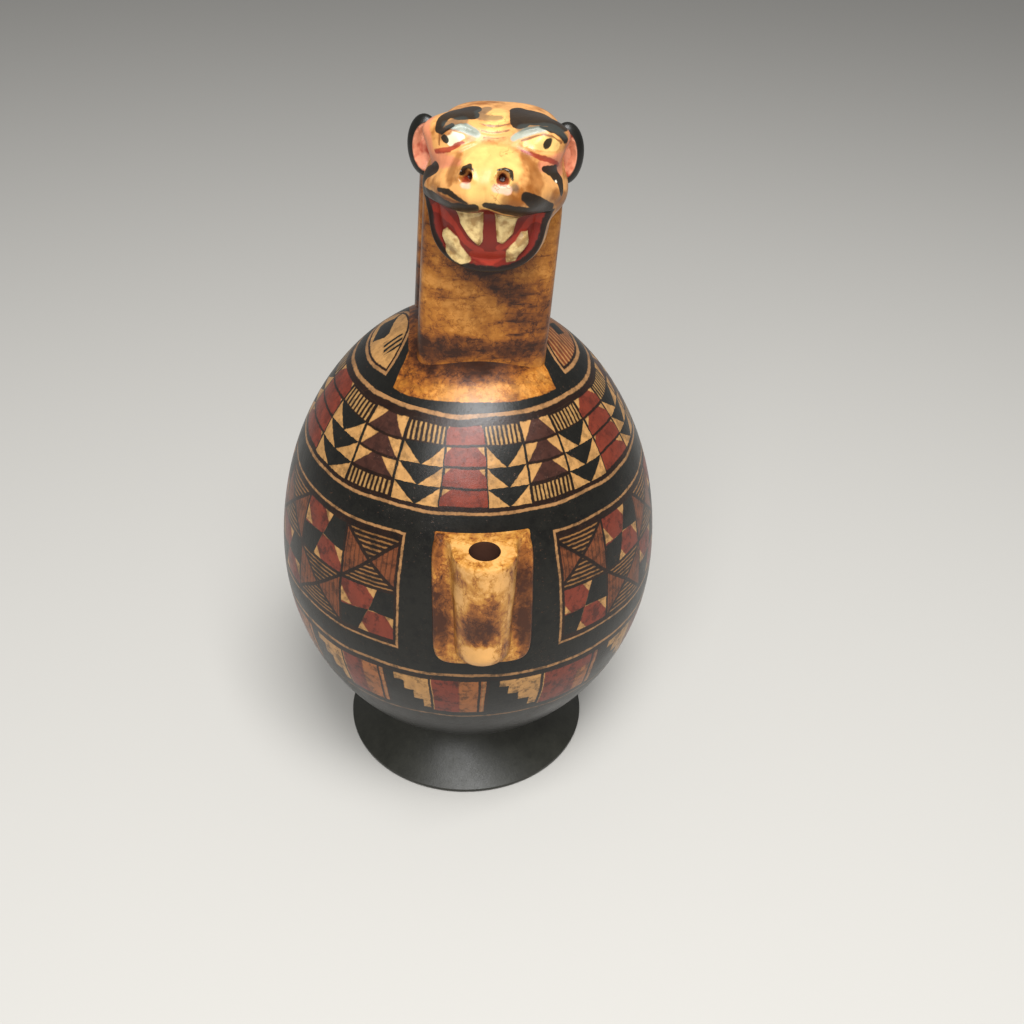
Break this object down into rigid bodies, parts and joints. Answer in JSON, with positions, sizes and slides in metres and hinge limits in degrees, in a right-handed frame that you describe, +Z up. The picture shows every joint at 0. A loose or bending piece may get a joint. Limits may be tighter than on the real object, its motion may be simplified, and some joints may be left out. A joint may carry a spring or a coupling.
{
  "type": "stirrup spout vessel",
  "caption": "Hollow painted ceramic vessel with an egg-shaped body on a flared foot, a stirrup that carries a feline head, and a lug with the pouring hole in front.",
  "frame": {"origin": "centre of the foot's flat underside, on the surface the vessel stands on", "axes": "+Z up along the body's axis, -Y towards the front with the lug and the feline face, +X to the right of a viewer who faces the front"},
  "size_m": [0.1348, 0.1447, 0.2503],
  "materials": {
    "painted_clay": "semi-gloss"
  },
  "bodies": {
    "root": {"vessel": "painted_clay"}
  },
  "joints": []
}
